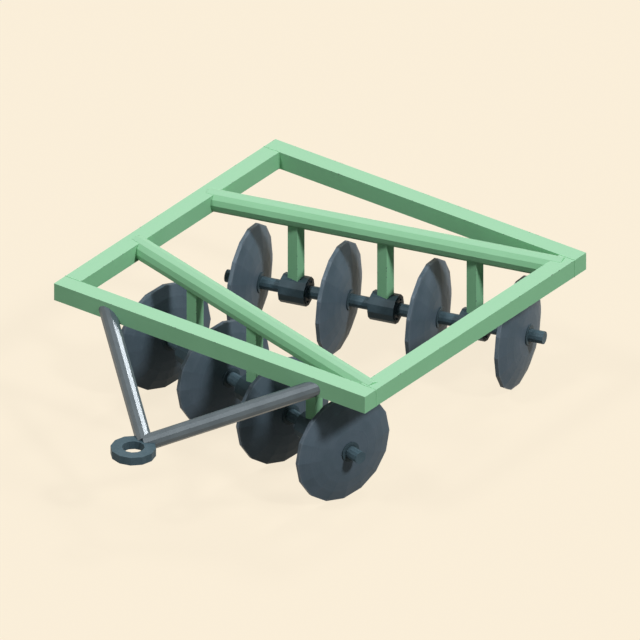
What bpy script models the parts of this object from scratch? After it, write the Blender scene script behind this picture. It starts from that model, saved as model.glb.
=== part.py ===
"""Towed disc harrow: two angled gangs of dished discs under a square-beam frame, pulled by an A drawbar.

Metres, +Z up. The origin is on the ground, at the middle of the harrow's overall box.
-Y is the way it is pulled, and +X is its right-hand side as seen from behind the hitch.
"""

from math import cos, pi, radians, sin, sqrt, tan

import bmesh
import bpy
from mathutils import Matrix, Vector

# Clearances.
SEAT_GAP = 0.0003  # between fixed pieces that are welded or bolted face to face
BEARING_GAP = 0.0005  # around an axle in its bearing housing

# Round bars and tubes have this many flats, and the bearing bores are rounder.
BAR_SIDES = 12
BORE_SIDES = 24

# Frame of square beams.
FRAME_WIDTH = 2.035
BEAM_SIZE = 0.100

# Discs, and how they stand along their axle.
DISC_RADIUS = 0.305
DISC_SIDES = 16
DISC_PLATE = 0.021
DISC_DISH = 0.054  # from the rim's front edge to the hub's front face
DISC_HUB_RADIUS = 0.062
DISC_RIM_SET = -0.002  # the rim's front edge, along the axle from the disc's station
DISC_RINGS = 4  # steps of the dished face between hub and rim
DISC_PITCH = 0.505
SMOOTH_LIMIT = radians(26)  # edges of a disc bent less than this look smooth
DISCS_PER_GANG = 4

# Gang axles and their bearing housings.
AXLE_RADIUS = 0.0345
AXLE_OVERHANG = 0.1405  # past the last disc's station
HOUSING_RADIUS = 0.080
HOUSING_LENGTH = 0.144

# Gangs: how they lie under the frame.
GANG_ANGLE = radians(15)
GANG_DISC_GAP = 0.163  # clear way between the two gangs' nearest discs
GANG_END_INSET = 0.136  # from the frame's outer face to a gang beam's far end
GANG_BEAM_RADIUS = 0.060
DISC_HEADROOM = 0.074  # from a disc's edge up to the gang beam
POST_SIZE = 0.063
POST_BITE = 0.9  # how much of the depth open to a post end its cope starts from

# Drawbar and hitch ring.
DRAWBAR_RADIUS = 0.0448
DRAWBAR_SPREAD = 1.432  # between the two tubes' middle lines on the front beam's middle line
DRAWBAR_REACH = 0.615  # from the front beam's middle line to where the tubes meet
DRAWBAR_DROP = 0.315  # from the beam's middle down to where the tubes meet
RING_RADIUS = 0.1205
RING_HOLE_RADIUS = 0.060
RING_THICKNESS = 0.046
RING_AHEAD = 0.101  # the ring's middle, ahead of where the tubes meet

# Worked out from the sizes above.
AXLE_Z = DISC_RADIUS
BEAM_Z = AXLE_Z + DISC_RADIUS + DISC_HEADROOM + GANG_BEAM_RADIUS
SIDE_BEAM_X = (FRAME_WIDTH - BEAM_SIZE) / 2
LAST_STATION = (DISCS_PER_GANG - 1) / 2 * DISC_PITCH
AXLE_LENGTH = 2 * (LAST_STATION + AXLE_OVERHANG)
GANG_SET = GANG_DISC_GAP / 2 + sin(GANG_ANGLE) * LAST_STATION + cos(GANG_ANGLE) * DISC_RADIUS
GANG_BEAM_LENGTH = 2 * SIDE_BEAM_X / cos(GANG_ANGLE)
FRAME_LENGTH = 2 * (GANG_SET + tan(GANG_ANGLE) * SIDE_BEAM_X + GANG_END_INSET)
RING_OUT = (FRAME_LENGTH - BEAM_SIZE) / 2 + DRAWBAR_REACH + RING_AHEAD
DISC_OUT = (
    GANG_SET
    + sin(GANG_ANGLE) * (LAST_STATION + DISC_RIM_SET)
    + cos(GANG_ANGLE) * DISC_RADIUS
)
FRAME_Y = (RING_OUT + RING_RADIUS - max(DISC_OUT, FRAME_LENGTH / 2)) / 2
FRONT_BEAM_Y = FRAME_Y - (FRAME_LENGTH - BEAM_SIZE) / 2
RING_Z = BEAM_Z - DRAWBAR_DROP

# Each gang's name and the way it is set: -1 ahead of the frame's middle, +1 behind it.
GANGS = (("front", -1), ("rear", 1))

# Name, colour, roughness and metallic value of each finish.
GREEN_PAINT = ("green_paint", (0.30, 0.58, 0.37), 0.55, 0.0)
DISC_STEEL = ("disc_steel", (0.075, 0.095, 0.115), 0.45, 0.8)
DARK_IRON = ("dark_iron", (0.050, 0.066, 0.076), 0.55, 0.6)
DRAWBAR_STEEL = ("drawbar_steel", (0.16, 0.19, 0.22), 0.35, 0.9)


def clear_scene():
    for thing in list(bpy.data.objects):
        bpy.data.objects.remove(thing, do_unlink=True)


def finish_of(node_name, finish):
    """A Principled material of the node's own."""
    name, colour, roughness, metallic = finish
    material = bpy.data.materials.new(f"{node_name}_{name}")
    material.use_nodes = True
    shader = material.node_tree.nodes["Principled BSDF"]
    shader.inputs["Base Color"].default_value = (*colour, 1.0)
    shader.inputs["Roughness"].default_value = roughness
    shader.inputs["Metallic"].default_value = metallic
    return material


def add_object(name, shape, place=Matrix(), parent=None, finish=None):
    """Puts a bmesh in the scene as an object, and frees the bmesh."""
    mesh = bpy.data.meshes.new(name)
    shape.to_mesh(mesh)
    shape.free()
    thing = bpy.data.objects.new(name, mesh)
    bpy.context.scene.collection.objects.link(thing)
    thing.parent = parent
    thing.matrix_local = place
    if finish:
        mesh.materials.append(finish_of(name, finish))
    else:
        thing.hide_render = True
        thing.display_type = "WIRE"
    return thing


def box(size_x, size_y, size_z):
    shape = bmesh.new()
    bmesh.ops.create_cube(shape, size=1.0)
    bmesh.ops.scale(shape, vec=(size_x, size_y, size_z), verts=shape.verts)
    return shape


def bar_along_x(radius, length, sides=BAR_SIDES):
    """A many-sided bar on the X axis, with one of its long edges on top."""
    shape = bmesh.new()
    bmesh.ops.create_cone(
        shape, cap_ends=True, segments=sides, radius1=radius, radius2=radius, depth=length
    )
    bmesh.ops.rotate(shape, verts=shape.verts, matrix=Matrix.Rotation(pi / 2, 3, "Y"))
    return shape


def spun_about_x(profile, sides):
    """A closed solid turned from (along, radius) points that run round a closed section."""
    shape = bmesh.new()
    loop = [shape.verts.new((along, 0.0, radius)) for along, radius in profile]
    edges = [shape.edges.new((a, b)) for a, b in zip(loop, loop[1:] + loop[:1])]
    bmesh.ops.spin(
        shape,
        geom=loop + edges,
        cent=(0, 0, 0),
        axis=(1, 0, 0),
        angle=2 * pi,
        steps=sides,
        use_merge=True,
    )
    bmesh.ops.remove_doubles(shape, verts=shape.verts, dist=1e-6)
    bmesh.ops.recalc_face_normals(shape, faces=shape.faces)
    return shape


def grown(radius, gap):
    """The corner radius of a bar whose flats stand the gap further out."""
    return radius + gap / cos(pi / BAR_SIDES)


def cut(thing, cutter):
    modifier = thing.modifiers.new(f"cut_{cutter.name}", "BOOLEAN")
    modifier.operation = "DIFFERENCE"
    modifier.solver = "EXACT"
    modifier.object = cutter


def frame_beams():
    """Front and rear beams run the full width, and the side beams butt between them."""
    side_length = FRAME_LENGTH - 2 * BEAM_SIZE - 2 * SEAT_GAP
    end_y = (FRAME_LENGTH - BEAM_SIZE) / 2
    beams = {}
    for name, size, x, y in (
        ("front_beam", (FRAME_WIDTH, BEAM_SIZE, BEAM_SIZE), 0, -end_y),
        ("rear_beam", (FRAME_WIDTH, BEAM_SIZE, BEAM_SIZE), 0, end_y),
        ("left_side_beam", (BEAM_SIZE, side_length, BEAM_SIZE), -SIDE_BEAM_X, 0),
        ("right_side_beam", (BEAM_SIZE, side_length, BEAM_SIZE), SIDE_BEAM_X, 0),
    ):
        place = Matrix.Translation((x, FRAME_Y + y, BEAM_Z))
        beams[name] = add_object(name, box(*size), place, finish=GREEN_PAINT)
    return beams


def gang_axis(name, way):
    """An empty on the gang's axle, its X axis along the axle."""
    axis = bpy.data.objects.new(f"{name}_gang_axis", None)
    bpy.context.scene.collection.objects.link(axis)
    spot = Matrix.Translation((0, FRAME_Y + way * GANG_SET, AXLE_Z))
    axis.matrix_local = spot @ Matrix.Rotation(way * GANG_ANGLE, 4, "Z")
    return axis


def gang_beam(name, axis, beams):
    """The tube that carries a gang, let into both side beams and the nearest end beam."""
    above = Matrix.Translation((0, 0, BEAM_Z - AXLE_Z))
    tube = bar_along_x(GANG_BEAM_RADIUS, GANG_BEAM_LENGTH)
    add_object(f"{name}_gang_beam", tube, above, axis, GREEN_PAINT)
    socket = bar_along_x(grown(GANG_BEAM_RADIUS, SEAT_GAP), GANG_BEAM_LENGTH + 2 * SEAT_GAP)
    cutter = add_object(f"{name}_gang_beam_socket", socket, above, axis)
    for beam in (f"{name}_beam", "left_side_beam", "right_side_beam"):
        cut(beams[beam], cutter)
    return cutter


def bearing_housings(name, axis):
    """A bored housing halfway between each two discs. It returns their cutters."""
    bore_radius = (AXLE_RADIUS + BEARING_GAP) / cos(pi / BORE_SIDES)
    cutters = []
    for number in range(1, DISCS_PER_GANG):
        place = Matrix.Translation(((number - 0.5) * DISC_PITCH - LAST_STATION, 0, 0))
        body = bar_along_x(HOUSING_RADIUS, HOUSING_LENGTH)
        housing = add_object(f"{name}_bearing_housing_{number}", body, place, axis, DARK_IRON)
        bore = bar_along_x(bore_radius, 2 * HOUSING_LENGTH, BORE_SIDES)
        cut(housing, add_object(f"{housing.name}_bore", bore, place, axis))
        seat = bar_along_x(grown(HOUSING_RADIUS, SEAT_GAP), HOUSING_LENGTH + 2 * SEAT_GAP)
        cutters.append(add_object(f"{housing.name}_seat", seat, place, axis))
    return cutters


def inner_height(radius):
    """How far from a round bar's middle a post can end and still end inside it all over."""
    corner = POST_SIZE / 2 * (cos(GANG_ANGLE) + sin(GANG_ANGLE))
    flat = radius * cos(pi / BAR_SIDES)
    return POST_BITE * sqrt(flat**2 - corner**2)


def posts(name, axis, beam_cutter, housing_cutters):
    """Square posts in line with the frame, coped to the gang beam and seated on the housings."""
    top = BEAM_Z - AXLE_Z - inner_height(GANG_BEAM_RADIUS)
    bottom = inner_height(HOUSING_RADIUS)
    for number, housing_cutter in enumerate(housing_cutters, start=1):
        along = housing_cutter.location.x
        middle = Matrix.Translation((along, 0, (top + bottom) / 2))
        square = Matrix.Rotation(-axis.rotation_euler.z, 4, "Z")
        post = add_object(
            f"{name}_post_{number}",
            box(POST_SIZE, POST_SIZE, top - bottom),
            middle @ square,
            axis,
            GREEN_PAINT,
        )
        cut(post, beam_cutter)
        cut(post, housing_cutter)


def disc_profile():
    """(along, radius) points round a dished plate's section, hub to rim and back."""
    bore = (AXLE_RADIUS + SEAT_GAP) / cos(pi / DISC_SIDES)
    reach = DISC_RADIUS - DISC_HUB_RADIUS
    sphere = (reach**2 + DISC_DISH**2) / (2 * DISC_DISH)
    hub = DISC_RIM_SET + DISC_DISH
    front = [(hub, bore)]
    for step in range(DISC_RINGS + 1):
        out = reach * step / DISC_RINGS
        front.append((hub - sphere + sqrt(sphere**2 - out**2), DISC_HUB_RADIUS + out))
    back = [(along - DISC_PLATE, radius) for along, radius in reversed(front)]
    return front + back


def turning_gang(name, axis):
    """The axle and the discs clamped on it, which turn together about the empty's X axis."""
    axle = bar_along_x(AXLE_RADIUS, AXLE_LENGTH)
    add_object(f"{name}_axle", axle, Matrix(), axis, DARK_IRON)
    for number in range(1, DISCS_PER_GANG + 1):
        place = Matrix.Translation(((number - 1) * DISC_PITCH - LAST_STATION, 0, 0))
        shape = spun_about_x(disc_profile(), DISC_SIDES)
        disc = add_object(f"{name}_disc_{number}", shape, place, axis, DISC_STEEL)
        disc.data.shade_smooth()
        disc.data.set_sharp_from_angle(angle=SMOOTH_LIMIT)


def hitch_ring():
    """The flat ring that a tractor's drawbar pin drops through. It returns its cutter."""
    half = RING_THICKNESS / 2
    section = [
        (-half, RING_HOLE_RADIUS),
        (half, RING_HOLE_RADIUS),
        (half, RING_RADIUS),
        (-half, RING_RADIUS),
    ]
    flat = Matrix.Rotation(pi / 2, 4, "Y")
    place = Matrix.Translation((0, FRAME_Y - RING_OUT, RING_Z)) @ flat
    add_object("hitch_ring", spun_about_x(section, BAR_SIDES), place, finish=DARK_IRON)
    seat = bar_along_x(grown(RING_RADIUS, SEAT_GAP), RING_THICKNESS + 2 * SEAT_GAP)
    return add_object("hitch_ring_seat", seat, place)


def trim(shape, point, away):
    """Cuts the shape at the plane through the point, and drops the side away points to."""
    everything = shape.verts[:] + shape.edges[:] + shape.faces[:]
    made = bmesh.ops.bisect_plane(
        shape, geom=everything, plane_co=point, plane_no=away, clear_outer=True
    )
    rim = [item for item in made["geom_cut"] if isinstance(item, bmesh.types.BMEdge)]
    bmesh.ops.edgeloop_fill(shape, edges=rim)


def drawbar(ring_cutter):
    """Two tubes from the front beam's face to the ring, mitred together and notched round it."""
    meeting = Vector((0, FRONT_BEAM_Y - DRAWBAR_REACH, RING_Z))
    beam_face = Vector((0, FRONT_BEAM_Y - BEAM_SIZE / 2 - SEAT_GAP, 0))
    for name, side in (("left", -1), ("right", 1)):
        run = meeting - Vector((side * DRAWBAR_SPREAD / 2, FRONT_BEAM_Y, BEAM_Z))
        tube = bar_along_x(DRAWBAR_RADIUS, 2 * run.length)
        heading = run.to_track_quat("X", "Z").to_matrix()
        bmesh.ops.rotate(tube, verts=tube.verts, matrix=heading)
        bmesh.ops.translate(tube, verts=tube.verts, vec=meeting)
        trim(tube, beam_face, Vector((0, 1, 0)))
        trim(tube, Vector((side * SEAT_GAP / 2, 0, 0)), Vector((-side, 0, 0)))
        trim(tube, meeting, run)
        bmesh.ops.translate(tube, verts=tube.verts, vec=-meeting)
        place = Matrix.Translation(meeting)
        cut(add_object(f"{name}_drawbar_tube", tube, place, finish=DRAWBAR_STEEL), ring_cutter)


def build():
    clear_scene()
    beams = frame_beams()
    for name, way in GANGS:
        axis = gang_axis(name, way)
        beam_cutter = gang_beam(name, axis, beams)
        housing_cutters = bearing_housings(name, axis)
        posts(name, axis, beam_cutter, housing_cutters)
        turning_gang(name, axis)
    drawbar(hitch_ring())


build()
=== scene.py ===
"""Looks of a towed disc harrow: green square-beam frame, two gangs of dark dished discs, A drawbar.

Metres, +Z up, -Y is the way it is pulled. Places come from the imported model.
"""

from math import cos, pi, radians, sin

import bpy
from mathutils import Matrix, Vector


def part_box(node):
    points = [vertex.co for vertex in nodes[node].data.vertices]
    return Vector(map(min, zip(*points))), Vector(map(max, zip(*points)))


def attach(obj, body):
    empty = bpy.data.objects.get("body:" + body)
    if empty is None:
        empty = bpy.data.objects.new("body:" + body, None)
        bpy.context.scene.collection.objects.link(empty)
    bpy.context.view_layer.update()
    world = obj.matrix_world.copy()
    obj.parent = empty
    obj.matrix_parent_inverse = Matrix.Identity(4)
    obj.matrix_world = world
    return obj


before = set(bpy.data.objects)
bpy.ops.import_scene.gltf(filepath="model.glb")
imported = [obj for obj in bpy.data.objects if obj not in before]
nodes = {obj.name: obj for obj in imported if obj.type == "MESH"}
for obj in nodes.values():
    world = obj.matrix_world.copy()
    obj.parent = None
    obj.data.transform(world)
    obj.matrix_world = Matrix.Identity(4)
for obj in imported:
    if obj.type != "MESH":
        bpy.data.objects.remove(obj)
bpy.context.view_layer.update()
bpy.ops.object.select_all(action="DESELECT")


# The camera looks down on the harrow's front right corner, with no perspective.
CAMERA_AZIMUTH = radians(36.83)
CAMERA_ELEVATION = radians(29.25)
CAMERA_AIM = Vector((-0.087, 0.461, 0.401))
CAMERA_DISTANCE = 9.0
VIEW_WIDTH = 3.354

towards_camera = Vector(
    (
        sin(CAMERA_AZIMUTH) * cos(CAMERA_ELEVATION),
        -cos(CAMERA_AZIMUTH) * cos(CAMERA_ELEVATION),
        sin(CAMERA_ELEVATION),
    )
)
bpy.ops.object.camera_add(
    location=CAMERA_AIM + CAMERA_DISTANCE * towards_camera,
    rotation=(pi / 2 - CAMERA_ELEVATION, 0, CAMERA_AZIMUTH),
)
camera = bpy.context.object
camera.data.type = "ORTHO"
camera.data.ortho_scale = VIEW_WIDTH
bpy.context.scene.camera = camera
bpy.context.scene.view_settings.view_transform = "Standard"


# Studio light: a key from the right, a fill from the front left and a rim light from behind,
# each a distant soft lamp, under a dim even sky.
LAMPS = (
    ("key", (0.72, -0.04, 0.69), 2.10, 8),
    ("fill", (-0.25, -0.45, 0.85), 1.50, 12),
    ("rim", (0.006, 0.694, 0.720), 1.20, 12),
)
SKY_STRENGTH = 0.14
CREAM = (0.955, 0.853, 0.690, 1.0)

for name, direction, strength, softness in LAMPS:
    bpy.ops.object.light_add(type="SUN", location=4 * Vector(direction))
    lamp = bpy.context.object
    lamp.name = f"{name}_lamp"
    lamp.rotation_euler = Vector(direction).to_track_quat("Z", "Y").to_euler()
    lamp.data.energy = strength
    lamp.data.angle = radians(softness)


class Shade:
    """A value in a node tree, so that shader maths can be written as expressions."""

    def __init__(self, tree, socket=None):
        self.tree = tree
        self.socket = socket

    def node(self, kind, settings, inputs, output=0):
        made = self.tree.nodes.new(kind)
        for name, value in settings.items():
            setattr(made, name, value)
        for key, value in inputs.items():
            if isinstance(value, Shade):
                self.tree.links.new(value.socket, made.inputs[key])
            else:
                made.inputs[key].default_value = value
        return Shade(self.tree, made.outputs[output])

    def maths(self, operation, *values):
        return self.node("ShaderNodeMath", {"operation": operation}, dict(enumerate(values)))

    def __add__(self, other):
        return self.maths("ADD", self, other)

    __radd__ = __add__

    def __sub__(self, other):
        return self.maths("SUBTRACT", self, other)

    def __rsub__(self, other):
        return self.maths("SUBTRACT", other, self)

    def __mul__(self, other):
        return self.maths("MULTIPLY", self, other)

    __rmul__ = __mul__

    def least(self, other):
        return self.maths("MINIMUM", self, other)

    def most(self, other):
        return self.maths("MAXIMUM", self, other)

    def absolute(self):
        return self.maths("ABSOLUTE", self)

    def root(self):
        return self.maths("SQRT", self)

    def rise(self, low, high):
        """0 below low, 1 above high, and smooth between; falls where low is above high."""
        settings = {"interpolation_type": "SMOOTHSTEP"}
        inputs = {"Value": self, "From Min": low, "From Max": high}
        return self.node("ShaderNodeMapRange", settings, inputs)

    def blend(self, low, high):
        """The low colour where this value is 0, and the high one where it is 1."""
        settings = {"data_type": "RGBA"}
        return self.node("ShaderNodeMix", settings, {0: self, 6: low, 7: high}, 2)

    def noise(self, place, scale, detail=2.0):
        inputs = {"Vector": place, "Scale": scale, "Detail": detail}
        return self.node("ShaderNodeTexNoise", {}, inputs)


def seen_directly(tree):
    """1 where the camera, a reflection or glass sees a surface, and 0 where it only lights others."""
    start = Shade(tree)
    seen = start.node("ShaderNodeLightPath", {}, {}, "Is Camera Ray")
    glossy = start.node("ShaderNodeLightPath", {}, {}, "Is Glossy Ray")
    through = start.node("ShaderNodeLightPath", {}, {}, "Is Transmission Ray")
    return seen.most(glossy).most(through)


# The sky is a dim even grey that lights the harrow. Seen directly it is the cream of the backdrop.
world = bpy.data.worlds.new("studio")
bpy.context.scene.world = world
world.use_nodes = True
sky = world.node_tree
shown = seen_directly(sky)
sky_light = (SKY_STRENGTH, SKY_STRENGTH, SKY_STRENGTH, 1.0)
sky.links.new(shown.blend(sky_light, CREAM).socket, sky.nodes["Background"].inputs["Color"])


# The floor is a pale sweep of cream card. It glows a little towards the camera, so that it stays
# pale, and keeps the harrow's soft shadow.
FLOOR_SIZE = 80.0
FLOOR_UNDER = 0.001
FLOOR_GLOW = 0.93  # share of the card's colour that doesn't take shadow
FLOOR_GLOW_STRENGTH = 0.985
FLOOR_BOUNCE = (0.13, 0.125, 0.115, 1.0)

bpy.ops.mesh.primitive_plane_add(size=FLOOR_SIZE, location=(0, 0, -FLOOR_UNDER))
floor = bpy.context.object
floor.name = "floor"
card = bpy.data.materials.new("cream_card")
card.use_nodes = True
tree = card.node_tree
shown = seen_directly(tree)
paper = tree.nodes["Principled BSDF"]
paper.inputs["Roughness"].default_value = 1.0
paper.inputs["Specular IOR Level"].default_value = 0.0
tree.links.new(shown.blend(FLOOR_BOUNCE, CREAM).socket, paper.inputs["Base Color"])
glow = shown.node("ShaderNodeEmission", {}, {"Color": CREAM, "Strength": FLOOR_GLOW_STRENGTH})
both = shown.node(
    "ShaderNodeMixShader",
    {},
    {0: shown * FLOOR_GLOW, 1: Shade(tree, paper.outputs[0]), 2: glow},
)
tree.links.new(both.socket, tree.nodes["Material Output"].inputs["Surface"])
floor.data.materials.append(card)


def new_finish(name, roughness, metallic, shine):
    """A Principled material with what stays the same all over it."""
    material = bpy.data.materials.new(name)
    material.use_nodes = True
    shader = material.node_tree.nodes["Principled BSDF"]
    shader.inputs["Roughness"].default_value = roughness
    shader.inputs["Metallic"].default_value = metallic
    shader.inputs["Specular IOR Level"].default_value = shine
    return material, shader


def feed(shader, name, value):
    value.tree.links.new(value.socket, shader.inputs[name])


def object_place(material):
    return Shade(material.node_tree).node("ShaderNodeTexCoord", {}, {}, "Object")


def raised(height, depth, place):
    """A Bump node's normal, from a height of 0 to 1."""
    inputs = {"Height": height, "Distance": depth, "Strength": 1.0}
    return place.node("ShaderNodeBump", {}, inputs)


def dress(node, material):
    """Gives a node of the model its finish."""
    mesh = nodes[node].data
    mesh.materials.clear()
    mesh.materials.append(material)


# The frame is welded from square steel tube, brushed with one coat of light green enamel. The coat
# has faded unevenly and is rubbed pale and chipped along its edges. Its up-facing faces are paler:
# a film of dust together with a painted sheen of the light from above.
GREEN = (0.258, 0.570, 0.324, 1.0)
GREEN_FADED = (0.276, 0.600, 0.346, 1.0)
GREEN_DUST_AND_TOP_SHEEN = (0.305, 0.560, 0.366, 1.0)
GREEN_RUBBED = (0.350, 0.655, 0.430, 1.0)
PRIMER = (0.085, 0.095, 0.090, 1.0)
RUBBED_WIDTH = 0.0030
RUBBED_WANDER = 0.0040  # how far the rubbed line wanders in and out
CHIP_REACH = 0.0045
PEEL_HEIGHT = 0.0002


def green_paint(name, square=None):
    """The enamel. On a square tube, square names the node whose edges are rubbed."""
    material, shader = new_finish(name, 0.6, 0.0, 0.18)
    place = object_place(material)
    faded = place.noise(place, 2.6, 4.0).rise(0.38, 0.66)
    colour = faded.blend(GREEN, GREEN_FADED)
    streaks = place.noise(place, 38.0, 3.0)
    facing = place.node("ShaderNodeNewGeometry", {}, {}, "Normal")
    upward = place.node("ShaderNodeSeparateXYZ", {}, {0: facing}, "Z")
    # Up-facing faces turn paler: partly dust, partly a painted sheen of the light from above.
    colour = (upward.rise(0.55, 0.98) * (0.75 + streaks * 0.4)).blend(colour, GREEN_DUST_AND_TOP_SHEEN)
    if square:
        low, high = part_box(square)
        inward = []
        for axis, middle, half in zip("XYZ", (low + high) / 2, (high - low) / 2):
            along = place.node("ShaderNodeSeparateXYZ", {}, {0: place}, axis)
            inward.append(half - (along - middle).absolute())
        first, second, third = inward
        edge = first.least(second).most(first.most(second).least(third))
        ragged = edge + (streaks - 0.5) * RUBBED_WANDER
        rubbed = ragged.rise(RUBBED_WIDTH, 0.0)
        colour = (rubbed * 0.55).blend(colour, GREEN_RUBBED)
        chips = place.noise(place, 90.0, 1.0).rise(0.66, 0.69)
        colour = (chips * edge.rise(CHIP_REACH, 0.001)).blend(colour, PRIMER)
    feed(shader, "Base Color", colour)
    feed(shader, "Roughness", 0.52 + streaks * 0.16)
    peel = place.noise(place, 420.0, 1.0)
    feed(shader, "Normal", raised(peel, PEEL_HEIGHT, place))
    return material


for node in (
    "front_beam",
    "rear_beam",
    "left_side_beam",
    "right_side_beam",
    *(f"{gang}_post_{number}" for gang in ("front", "rear") for number in (1, 2, 3)),
):
    dress(node, green_paint(f"{node}_enamel", node))
for gang in ("front", "rear"):
    dress(f"{gang}_gang_beam", green_paint(f"{gang}_gang_beam_enamel"))


# Weld beads close the joints where the side beams butt against the end beams. A bead is a row of
# overlapping round ripples of weld metal, painted over with the frame.
BEAD_RADIUS = 0.0026
RIPPLE_STEP = 0.0024
SMOOTH_LIMIT = radians(35)


def ripple(place):
    """One ripple of a weld, as a small ball half sunk in the joint."""
    bpy.ops.mesh.primitive_uv_sphere_add(
        segments=8, ring_count=6, radius=BEAD_RADIUS, location=place
    )


def straight_bead(start, end):
    """A straight run of ripples from start to end, as one object."""
    run = end - start
    ripple(start)
    bead = bpy.context.object
    rows = bead.modifiers.new("ripples", "ARRAY")
    rows.use_relative_offset = False
    rows.use_constant_offset = True
    rows.constant_offset_displace = run.normalized() * RIPPLE_STEP
    rows.count = int(run.length / RIPPLE_STEP) + 1
    bpy.ops.object.modifier_apply(modifier="ripples")
    return bead


def joined(name, parts, body, material):
    """The parts as one finished piece whose place is in its mesh, riding on a body."""
    bpy.ops.object.select_all(action="DESELECT")
    for part in parts:
        part.select_set(True)
    bpy.context.view_layer.objects.active = parts[0]
    bpy.ops.object.join()
    piece = bpy.context.object
    bpy.ops.object.transform_apply(location=True, rotation=True, scale=True)
    bpy.ops.object.shade_smooth_by_angle(angle=SMOOTH_LIMIT)
    piece.name = name
    piece.data.materials.clear()
    piece.data.materials.append(material)
    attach(piece, body)
    bpy.ops.object.select_all(action="DESELECT")
    return piece


front_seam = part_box("front_beam")[1].y
rear_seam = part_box("rear_beam")[0].y
for side in ("left", "right"):
    low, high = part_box(f"{side}_side_beam")
    beads = []
    for seam_y in (front_seam, rear_seam):
        for seam_z in (high.z, low.z):
            across = (Vector((x, seam_y, seam_z)) for x in (low.x, high.x))
            beads.append(straight_bead(*across))
        for seam_x in (low.x, high.x):
            upright = (Vector((seam_x, seam_y, z)) for z in (low.z, high.z))
            beads.append(straight_bead(*upright))
    paint = green_paint(f"{side}_corner_weld_enamel")
    joined(f"{side}_corner_welds", beads, "frame", paint)


# The gangs run on axles set at 15 degrees to the frame, one each way. Each gang has the middle of
# its axle and the way that the axle points.
GANG_ANGLE = radians(15)

gangs = {}
for gang, way in (("front", -1), ("rear", 1)):
    low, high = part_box(f"{gang}_axle")
    axis = Matrix.Rotation(way * GANG_ANGLE, 3, "Z") @ Vector((1, 0, 0))
    gangs[gang] = ((low + high) / 2, axis)


# A disc is pressed from harrow steel, dark with oil and oxide. Soil has polished it in rings,
# most of all near its rim.
DISC_DARK = (0.078, 0.114, 0.145, 1.0)
DISC_PALE = (0.096, 0.132, 0.168, 1.0)
DISC_EDGE = (0.190, 0.230, 0.275, 1.0)
DISC_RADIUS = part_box("front_disc_1")[1].z / 2
DISC_NUMBERS = (1, 2, 3, 4)


def from_line(place, middle, axis):
    """Distances of each point along a line and out from it."""
    offset = place.node("ShaderNodeVectorMath", {"operation": "SUBTRACT"}, {0: place, 1: middle})
    along = place.node("ShaderNodeVectorMath", {"operation": "DOT_PRODUCT"}, {0: offset, 1: axis}, 1)
    size = place.node("ShaderNodeVectorMath", {"operation": "LENGTH"}, {0: offset}, 1)
    return along, (size * size - along * along).most(0.0).root()


def disc_steel(name, middle, axis):
    material, shader = new_finish(name, 0.45, 0.05, 0.10)
    place = object_place(material)
    along, out = from_line(place, middle, axis)
    rings = place.node("ShaderNodeCombineXYZ", {}, {0: out * 260.0, 1: along * 40.0, 2: 0.0})
    scratches = place.noise(rings, 1.0, 3.0)
    clouds = place.noise(place, 9.0, 4.0)
    colour = (clouds * 0.7 + scratches * 0.3).rise(0.36, 0.68).blend(DISC_DARK, DISC_PALE)
    polished = out.rise(DISC_RADIUS - 0.016, DISC_RADIUS - 0.004)
    colour = (polished * scratches.rise(0.3, 0.7) * 0.5).blend(colour, DISC_EDGE)
    feed(shader, "Base Color", colour)
    feed(shader, "Roughness", 0.46 - polished * 0.08 + clouds * 0.08)
    feed(shader, "Normal", raised(scratches, 0.0002, place))
    return material


for gang, (middle, axis) in gangs.items():
    for number in DISC_NUMBERS:
        dress(f"{gang}_disc_{number}", disc_steel(f"{gang}_disc_{number}_steel", middle, axis))


# The axles, bearing housings and hitch ring are dark iron under a thin film of grease. Handling has
# worn the axles and the ring a little paler.
IRON_DARK = (0.034, 0.060, 0.075)
IRON_PALE = (0.052, 0.082, 0.101)


def dark_iron(name, grain=55.0, worn=1.0):
    """The iron; worn above 1 makes it that much paler."""
    dark, pale = ((*(worn * part for part in tone), 1.0) for tone in (IRON_DARK, IRON_PALE))
    material, shader = new_finish(name, 0.45, 0.03, 0.12)
    place = object_place(material)
    skin = place.noise(place, grain, 4.0)
    clouds = place.noise(place, 7.0, 3.0)
    colour = (skin * 0.4 + clouds * 0.6).rise(0.35, 0.68).blend(dark, pale)
    feed(shader, "Base Color", colour)
    feed(shader, "Roughness", 0.40 + skin * 0.2)
    feed(shader, "Normal", raised(skin, 0.0004, place))
    return material


for gang in gangs:
    dress(f"{gang}_axle", dark_iron(f"{gang}_axle_iron", 120.0, 1.5))
    for number in (1, 2, 3):
        housing = f"{gang}_bearing_housing_{number}"
        dress(housing, dark_iron(f"{housing}_iron"))
dress("hitch_ring", dark_iron("hitch_ring_iron", worn=1.4))


# The drawbar's two tubes are bare drawn steel, brighter than the rest and finely marked. They are
# mitred together over the hitch ring.
DRAWN_DARK = (0.074, 0.104, 0.128, 1.0)
DRAWN_PALE = (0.098, 0.132, 0.158, 1.0)


def drawn_steel(name):
    material, shader = new_finish(name, 0.34, 0.18, 0.7)
    place = object_place(material)
    clouds = place.noise(place, 11.0, 4.0)
    grain = place.noise(place, 160.0, 2.0)
    colour = (clouds * 0.7 + grain * 0.3).rise(0.35, 0.68).blend(DRAWN_DARK, DRAWN_PALE)
    feed(shader, "Base Color", colour)
    feed(shader, "Roughness", 0.30 + grain * 0.08)
    feed(shader, "Normal", raised(grain, 0.0001, place))
    return material


for side in ("left", "right"):
    dress(f"{side}_drawbar_tube", drawn_steel(f"{side}_drawbar_tube_steel"))


# Each disc is clamped by two thick iron washers, one on each face of its flat hub. They fit round
# the axle and turn with the gang.
WASHER_RADIUS = 0.056
WASHER_THICKNESS = 0.007
WASHER_BEVEL = 0.0012
WASHER_SIDES = 36
AXLE_CLEAR = 0.0350
DISC_HUB_FRONT = 0.052  # the hub's front face, along the axle from the disc's station
DISC_PLATE = 0.021
DISC_PITCH = 0.505
MIDDLE_DISC = 2.5  # the axle's middle, counted in discs from its left end


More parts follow.
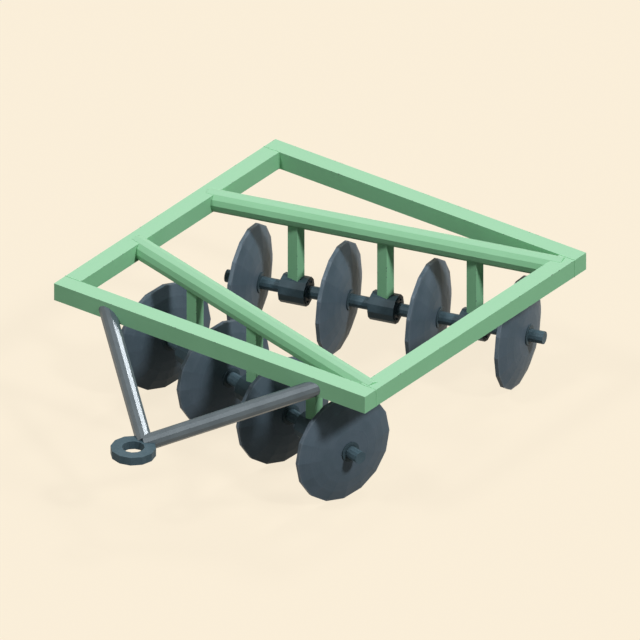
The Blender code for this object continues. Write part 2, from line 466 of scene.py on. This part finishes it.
def washer(place, axis, radius, hole, thickness):
    """A flat round ring square to an axis, its edges slightly rounded."""
    turn = axis.to_track_quat("Z", "Y").to_euler()
    bpy.ops.mesh.primitive_cylinder_add(
        vertices=WASHER_SIDES,
        radius=radius,
        depth=thickness,
        end_fill_type="NOTHING",
        location=place,
        rotation=turn,
    )
    made = bpy.context.object
    wall = made.modifiers.new("wall", "SOLIDIFY")
    wall.thickness = radius - hole
    wall.offset = -1
    bpy.ops.object.modifier_apply(modifier="wall")
    soft = made.modifiers.new("soft", "BEVEL")
    soft.width = WASHER_BEVEL
    soft.segments = 2
    bpy.ops.object.modifier_apply(modifier="soft")
    return made


CROWN_CHAMFER = 0.08  # as a share of the head's width


def bolt_head(place, axis, across, height):
    """A hexagon head standing on a face, with a chamfered crown."""
    turn = axis.to_track_quat("Z", "Y").to_euler()
    bpy.ops.mesh.primitive_cylinder_add(
        vertices=6, radius=across / 2, depth=height, location=place + axis * height / 2, rotation=turn
    )
    head = bpy.context.object
    soft = head.modifiers.new("soft", "BEVEL")
    soft.width = across * CROWN_CHAMFER
    soft.segments = 2
    bpy.ops.object.modifier_apply(modifier="soft")
    return head


for gang, (middle, axis) in gangs.items():
    for number in DISC_NUMBERS:
        station = middle + axis * (number - MIDDLE_DISC) * DISC_PITCH
        front = station + axis * (DISC_HUB_FRONT + WASHER_THICKNESS / 2)
        back = station + axis * (DISC_HUB_FRONT - DISC_PLATE - WASHER_THICKNESS / 2)
        pair = [
            washer(place, axis, WASHER_RADIUS, AXLE_CLEAR, WASHER_THICKNESS)
            for place in (front, back)
        ]
        name = f"{gang}_disc_{number}_clamp_washers"
        joined(name, pair, f"{gang}_gang", dark_iron(f"{name}_iron", 90.0))


# Each bearing housing is closed at both ends by an iron seal plate, held by six small bolts. The
# plates clear the axle and stay with the frame.
PLATE_RADIUS = 0.066
PLATE_HOLE = 0.0385
PLATE_THICKNESS = 0.004
PLATE_BOLTS = 6
PLATE_BOLT_CIRCLE = 0.053
PLATE_BOLT_SIZE = 0.013
PLATE_BOLT_HEIGHT = 0.005
HOUSING_LENGTH = 0.144
HOUSING_NUMBERS = (1, 2, 3)
MIDDLE_HOUSING = 2

for gang, (middle, axis) in gangs.items():
    across = Vector((0, 0, 1)).cross(axis)
    for number in HOUSING_NUMBERS:
        station = middle + axis * (number - MIDDLE_HOUSING) * DISC_PITCH
        parts = []
        for end in (-1, 1):
            outward = axis * end
            face = station + outward * HOUSING_LENGTH / 2
            parts.append(
                washer(
                    face + outward * PLATE_THICKNESS / 2,
                    outward,
                    PLATE_RADIUS,
                    PLATE_HOLE,
                    PLATE_THICKNESS,
                )
            )
            for bolt in range(PLATE_BOLTS):
                around = 2 * pi * (bolt + 0.5) / PLATE_BOLTS
                spot = (Vector((0, 0, cos(around))) + across * sin(around)) * PLATE_BOLT_CIRCLE
                parts.append(
                    bolt_head(
                        face + outward * PLATE_THICKNESS + spot,
                        outward,
                        PLATE_BOLT_SIZE,
                        PLATE_BOLT_HEIGHT,
                    )
                )
        name = f"{gang}_bearing_{number}_seal_plates"
        joined(name, parts, "frame", dark_iron(f"{name}_iron", 90.0))
